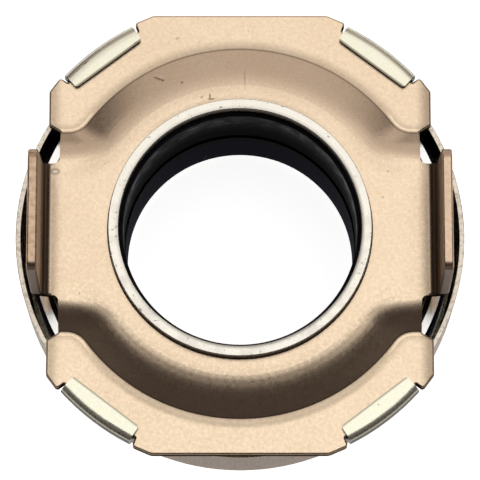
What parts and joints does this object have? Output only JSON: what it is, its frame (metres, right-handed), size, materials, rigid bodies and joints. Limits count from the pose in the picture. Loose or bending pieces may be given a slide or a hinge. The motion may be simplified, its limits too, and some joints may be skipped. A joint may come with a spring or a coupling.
{
  "type": "clutch release bearing",
  "caption": "Self-centring clutch release bearing: a sealed ball bearing with a turning nose, held in a steel cover under a fork plate with two ears and a lined sliding sleeve.",
  "frame": {"origin": "centre of the nose, on the plane that the nose rests on", "axes": "+Z along the bore towards the rear, where the fork pushes; +X and -X towards the two fork ears"},
  "size_m": [0.0676, 0.0676, 0.0374],
  "materials": {
    "plate_steel": "satin, bronze-toned plating",
    "sleeve_steel": "turned",
    "liner_resin": "moulded, low friction",
    "cover_steel": "zinc plated sheet",
    "spring_steel": "hardened strip",
    "ring_steel": "ground bearing steel",
    "seal_rubber": "moulded rubber",
    "cage_resin": "glass-filled nylon",
    "ball_steel": "polished"
  },
  "bodies": {
    "carrier": {"fork_plate": "plate_steel", "hub_sleeve": "sleeve_steel", "bore_liner": "liner_resin", "cover": "cover_steel"},
    "spring": {"wave_spring": "spring_steel"},
    "standing_ring": {"outer_ring": "ring_steel", "front_seal": "seal_rubber", "rear_seal": "seal_rubber"},
    "turning_ring": {"inner_ring": "ring_steel"},
    "cage": {"ball_cage": "cage_resin"},
    "ball_01": {"ball_01": "ball_steel"},
    "ball_02": {"ball_02": "ball_steel"},
    "ball_03": {"ball_03": "ball_steel"},
    "ball_04": {"ball_04": "ball_steel"},
    "ball_05": {"ball_05": "ball_steel"},
    "ball_06": {"ball_06": "ball_steel"},
    "ball_07": {"ball_07": "ball_steel"},
    "ball_08": {"ball_08": "ball_steel"},
    "ball_09": {"ball_09": "ball_steel"},
    "ball_10": {"ball_10": "ball_steel"},
    "ball_11": {"ball_11": "ball_steel"},
    "ball_12": {"ball_12": "ball_steel"},
    "ball_13": {"ball_13": "ball_steel"},
    "ball_14": {"ball_14": "ball_steel"},
    "ball_15": {"ball_15": "ball_steel"},
    "ball_16": {"ball_16": "ball_steel"}
  },
  "joints": [
    {"name": "float_x", "type": "slide", "parent": "carrier", "child": "spring", "axis": [1, 0, 0], "range_m": [-0.0006, 0.0006]},
    {"name": "float_y", "type": "slide", "parent": "spring", "child": "standing_ring", "axis": [0, 1, 0], "range_m": [-0.0006, 0.0006]},
    {"name": "nose_spin", "type": "hinge", "parent": "standing_ring", "child": "turning_ring", "pos_m": [0, 0, 0.0126], "axis": [0, 0, 1], "continuous": true},
    {"name": "cage_orbit", "type": "hinge", "parent": "standing_ring", "child": "cage", "pos_m": [0, 0, 0.0126], "axis": [0, 0, 1], "continuous": true},
    {"name": "ball_01_roll", "type": "hinge", "parent": "cage", "child": "ball_01", "pos_m": [0.02652, 0, 0.0126], "axis": [0, 0, 1], "continuous": true},
    {"name": "ball_02_roll", "type": "hinge", "parent": "cage", "child": "ball_02", "pos_m": [0.0245, 0.01015, 0.0126], "axis": [0, 0, 1], "continuous": true},
    {"name": "ball_03_roll", "type": "hinge", "parent": "cage", "child": "ball_03", "pos_m": [0.01875, 0.01875, 0.0126], "axis": [0, 0, 1], "continuous": true},
    {"name": "ball_04_roll", "type": "hinge", "parent": "cage", "child": "ball_04", "pos_m": [0.01015, 0.0245, 0.0126], "axis": [0, 0, 1], "continuous": true},
    {"name": "ball_05_roll", "type": "hinge", "parent": "cage", "child": "ball_05", "pos_m": [0, 0.02652, 0.0126], "axis": [0, 0, 1], "continuous": true},
    {"name": "ball_06_roll", "type": "hinge", "parent": "cage", "child": "ball_06", "pos_m": [-0.01015, 0.0245, 0.0126], "axis": [0, 0, 1], "continuous": true},
    {"name": "ball_07_roll", "type": "hinge", "parent": "cage", "child": "ball_07", "pos_m": [-0.01875, 0.01875, 0.0126], "axis": [0, 0, 1], "continuous": true},
    {"name": "ball_08_roll", "type": "hinge", "parent": "cage", "child": "ball_08", "pos_m": [-0.0245, 0.01015, 0.0126], "axis": [0, 0, 1], "continuous": true},
    {"name": "ball_09_roll", "type": "hinge", "parent": "cage", "child": "ball_09", "pos_m": [-0.02652, 0, 0.0126], "axis": [0, 0, 1], "continuous": true},
    {"name": "ball_10_roll", "type": "hinge", "parent": "cage", "child": "ball_10", "pos_m": [-0.0245, -0.01015, 0.0126], "axis": [0, 0, 1], "continuous": true},
    {"name": "ball_11_roll", "type": "hinge", "parent": "cage", "child": "ball_11", "pos_m": [-0.01875, -0.01875, 0.0126], "axis": [0, 0, 1], "continuous": true},
    {"name": "ball_12_roll", "type": "hinge", "parent": "cage", "child": "ball_12", "pos_m": [-0.01015, -0.0245, 0.0126], "axis": [0, 0, 1], "continuous": true},
    {"name": "ball_13_roll", "type": "hinge", "parent": "cage", "child": "ball_13", "pos_m": [0, -0.02652, 0.0126], "axis": [0, 0, 1], "continuous": true},
    {"name": "ball_14_roll", "type": "hinge", "parent": "cage", "child": "ball_14", "pos_m": [0.01015, -0.0245, 0.0126], "axis": [0, 0, 1], "continuous": true},
    {"name": "ball_15_roll", "type": "hinge", "parent": "cage", "child": "ball_15", "pos_m": [0.01875, -0.01875, 0.0126], "axis": [0, 0, 1], "continuous": true},
    {"name": "ball_16_roll", "type": "hinge", "parent": "cage", "child": "ball_16", "pos_m": [0.0245, -0.01015, 0.0126], "axis": [0, 0, 1], "continuous": true}
  ],
  "couplings": [
    {"joint": "cage_orbit", "follows": "nose_spin", "ratio": 0.44344},
    {"joint": "ball_01_roll", "follows": "nose_spin", "ratio": -4.3634},
    {"joint": "ball_02_roll", "follows": "nose_spin", "ratio": -4.3634},
    {"joint": "ball_03_roll", "follows": "nose_spin", "ratio": -4.3634},
    {"joint": "ball_04_roll", "follows": "nose_spin", "ratio": -4.3634},
    {"joint": "ball_05_roll", "follows": "nose_spin", "ratio": -4.3634},
    {"joint": "ball_06_roll", "follows": "nose_spin", "ratio": -4.3634},
    {"joint": "ball_07_roll", "follows": "nose_spin", "ratio": -4.3634},
    {"joint": "ball_08_roll", "follows": "nose_spin", "ratio": -4.3634},
    {"joint": "ball_09_roll", "follows": "nose_spin", "ratio": -4.3634},
    {"joint": "ball_10_roll", "follows": "nose_spin", "ratio": -4.3634},
    {"joint": "ball_11_roll", "follows": "nose_spin", "ratio": -4.3634},
    {"joint": "ball_12_roll", "follows": "nose_spin", "ratio": -4.3634},
    {"joint": "ball_13_roll", "follows": "nose_spin", "ratio": -4.3634},
    {"joint": "ball_14_roll", "follows": "nose_spin", "ratio": -4.3634},
    {"joint": "ball_15_roll", "follows": "nose_spin", "ratio": -4.3634},
    {"joint": "ball_16_roll", "follows": "nose_spin", "ratio": -4.3634}
  ]
}
